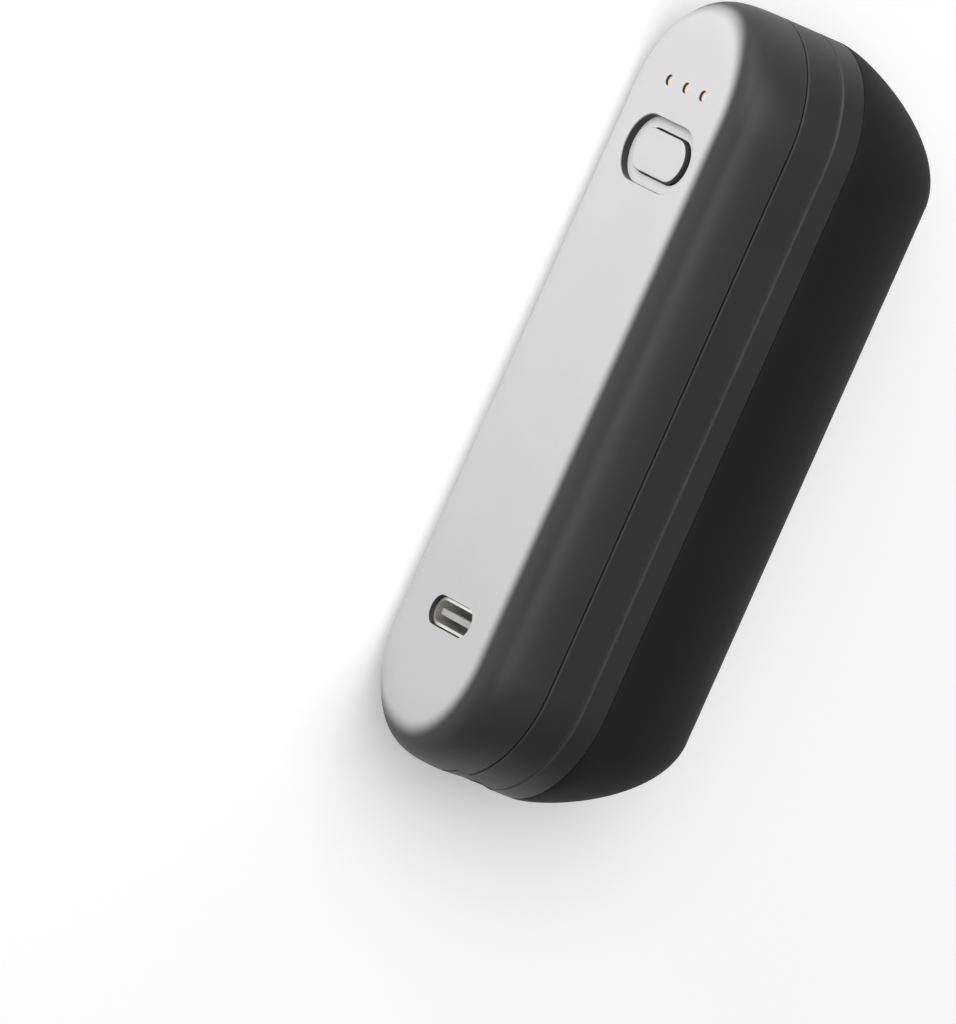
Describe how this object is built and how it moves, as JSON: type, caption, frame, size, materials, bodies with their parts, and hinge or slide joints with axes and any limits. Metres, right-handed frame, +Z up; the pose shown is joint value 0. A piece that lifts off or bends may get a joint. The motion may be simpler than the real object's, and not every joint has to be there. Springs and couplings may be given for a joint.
{
  "type": "rechargeable hand warmer",
  "caption": "Pocket hand warmer with a rounded back, flat control face, push button, indicator lights, charging port and lanyard eyelet.",
  "frame": {"origin": "on the surface that the body lies on, under the middle of its box", "axes": "+X along the body towards the charging and lanyard end, -Y out of the control face, +Z up, through the thickness"},
  "size_m": [0.0888, 0.0326, 0.0258],
  "materials": {
    "face_plastic": "fine satin moulded",
    "belt_plastic": "fine satin moulded",
    "back_plastic": "fine satin moulded",
    "eyelet_black": "satin black",
    "steel": "plain",
    "switch_plastic": "moulded",
    "light_orange": "clear, lit orange",
    "led_white": "moulded",
    "port_steel": "drawn",
    "port_plastic": "moulded",
    "nickel": "rolled",
    "board_green": "solder mask",
    "chip_black": "moulded",
    "ceramic_tan": "fired",
    "sheet_grey": "smooth",
    "cell_can": "nickel-plated can, mean density of a cell",
    "sleeve_blue": "shrunk film",
    "paper_white": "pressed paper",
    "graphite": "pressed graphite sheet",
    "heater_film": "polyimide film",
    "lead_red": "insulated wire",
    "copper": "rolled copper"
  },
  "bodies": {
    "case": {"front_cover": "face_plastic", "front_frame": "belt_plastic", "rear_frame": "belt_plastic", "rear_cover": "back_plastic", "lanyard_eyelet": "eyelet_black", "lanyard_pin": "steel", "switch_base": "switch_plastic", "switch_dome": "steel", "light_guide": "light_orange", "indicator_leds": "led_white", "usb_c_shell": "port_steel", "usb_c_tongue": "port_plastic", "usb_c_contacts": "nickel", "main_board": "board_green", "board_screws": "steel", "controller_chip": "chip_black", "charger_chip": "chip_black", "power_inductor": "chip_black", "thermistor": "chip_black", "board_capacitors": "ceramic_tan", "insulating_sheet": "sheet_grey", "battery_cell": "cell_can", "cell_sleeve": "sleeve_blue", "cell_insulator": "paper_white", "positive_tab": "nickel", "negative_tab": "nickel", "cell_cradle": "switch_plastic", "rear_heat_spreader": "graphite", "rear_heater_film": "heater_film", "rear_heater_leads": "lead_red", "front_heat_spreader": "copper", "front_heater_film": "heater_film", "front_heater_leads": "lead_red"},
    "button": {"power_button": "face_plastic", "switch_plunger": "switch_plastic"}
  },
  "joints": [
    {"name": "power_button_press", "type": "slide", "parent": "case", "child": "button", "axis": [0, 1, 0], "range_m": [0, 0.00035], "stiffness_N_per_m": 600}
  ]
}
